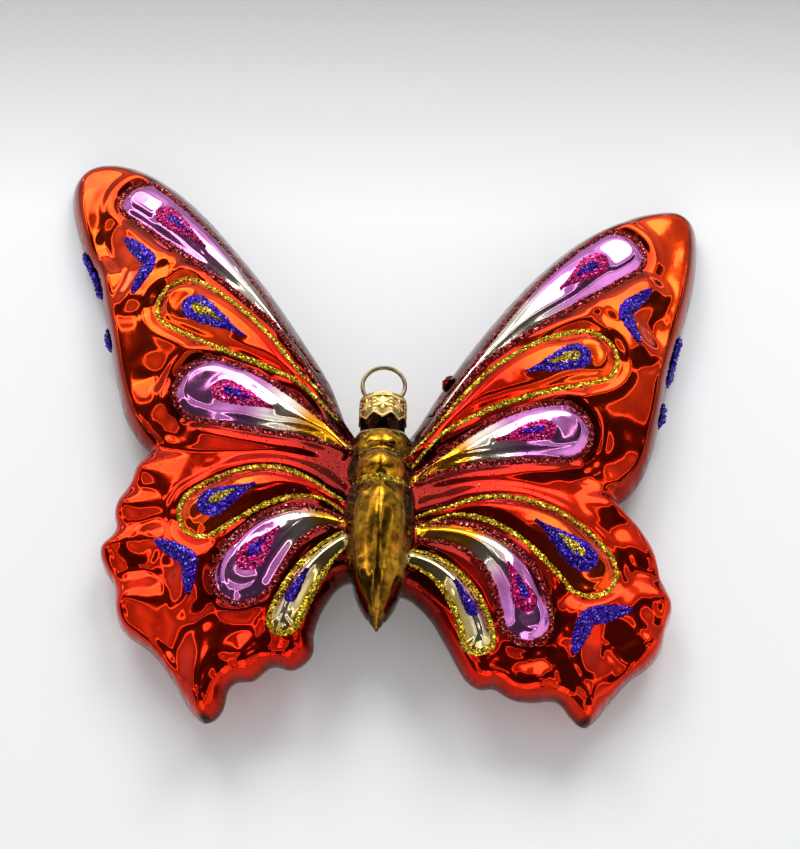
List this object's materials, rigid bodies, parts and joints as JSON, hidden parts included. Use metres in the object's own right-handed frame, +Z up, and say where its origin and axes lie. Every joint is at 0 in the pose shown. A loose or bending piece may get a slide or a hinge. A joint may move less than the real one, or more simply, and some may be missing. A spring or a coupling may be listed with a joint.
{
  "type": "butterfly ornament",
  "caption": "Hollow blown-glass butterfly hanging ornament, silvered and red-lacquered, with coloured glitter cell rims and eye spots, a toothed gold cap and a wire hanging loop.",
  "frame": {"origin": "centre of the bounding box, on the surface that the ornament lies on", "axes": "+Z up out of the decorated front, +Y along the body from the tail to the cap, +X to the viewer's right"},
  "size_m": [0.1276, 0.119, 0.0228],
  "materials": {
    "lacquered_glass": "silvered inside, clear red and gold lacquer outside",
    "gold_cap": "embossed, bright",
    "brassed_wire": "dull brass plate",
    "red_glitter": "loose glitter in glue",
    "gold_glitter": "loose glitter in glue",
    "purple_glitter": "loose glitter in glue",
    "magenta_glitter": "loose glitter in glue"
  },
  "bodies": {
    "glass": {"glass_shell": "lacquered_glass", "body_bands": "gold_glitter", "front_leading_rim": "red_glitter", "front_leading_eye": "magenta_glitter", "front_leading_pupil": "purple_glitter", "front_middle_rim": "gold_glitter", "front_middle_eye": "purple_glitter", "front_middle_pupil": "gold_glitter", "front_rear_rim": "red_glitter", "front_rear_eye": "magenta_glitter", "front_rear_pupil": "purple_glitter", "front_shoulder_rim": "gold_glitter", "front_shoulder_eye": "purple_glitter", "front_shoulder_pupil": "gold_glitter", "front_hind_rim": "red_glitter", "front_hind_eye": "magenta_glitter", "front_hind_pupil": "purple_glitter", "front_inner_rim": "gold_glitter", "front_inner_eye": "purple_glitter", "front_upper_chevron": "purple_glitter", "front_lower_chevron": "purple_glitter", "back_leading_rim": "red_glitter", "back_leading_eye": "magenta_glitter", "back_leading_pupil": "purple_glitter", "back_middle_rim": "gold_glitter", "back_middle_eye": "purple_glitter", "back_middle_pupil": "gold_glitter", "back_rear_rim": "red_glitter", "back_rear_eye": "magenta_glitter", "back_rear_pupil": "purple_glitter", "back_shoulder_rim": "gold_glitter", "back_shoulder_eye": "purple_glitter", "back_shoulder_pupil": "gold_glitter", "back_hind_rim": "red_glitter", "back_hind_eye": "magenta_glitter", "back_hind_pupil": "purple_glitter", "back_inner_rim": "gold_glitter", "back_inner_eye": "purple_glitter", "back_upper_chevron": "purple_glitter", "back_lower_chevron": "purple_glitter"},
    "cap": {"cap": "gold_cap"},
    "hanger": {"hanger_wire": "brassed_wire"}
  },
  "joints": [
    {"name": "cap_pull", "type": "slide", "parent": "glass", "child": "cap", "axis": [0, 1, 0], "range_m": [0, 0.016]},
    {"name": "loop_rock", "type": "hinge", "parent": "cap", "child": "hanger", "pos_m": [0.00174, -0.00124, 0.01377], "axis": [1, 0, 0], "range_deg": [-5, 5]}
  ]
}
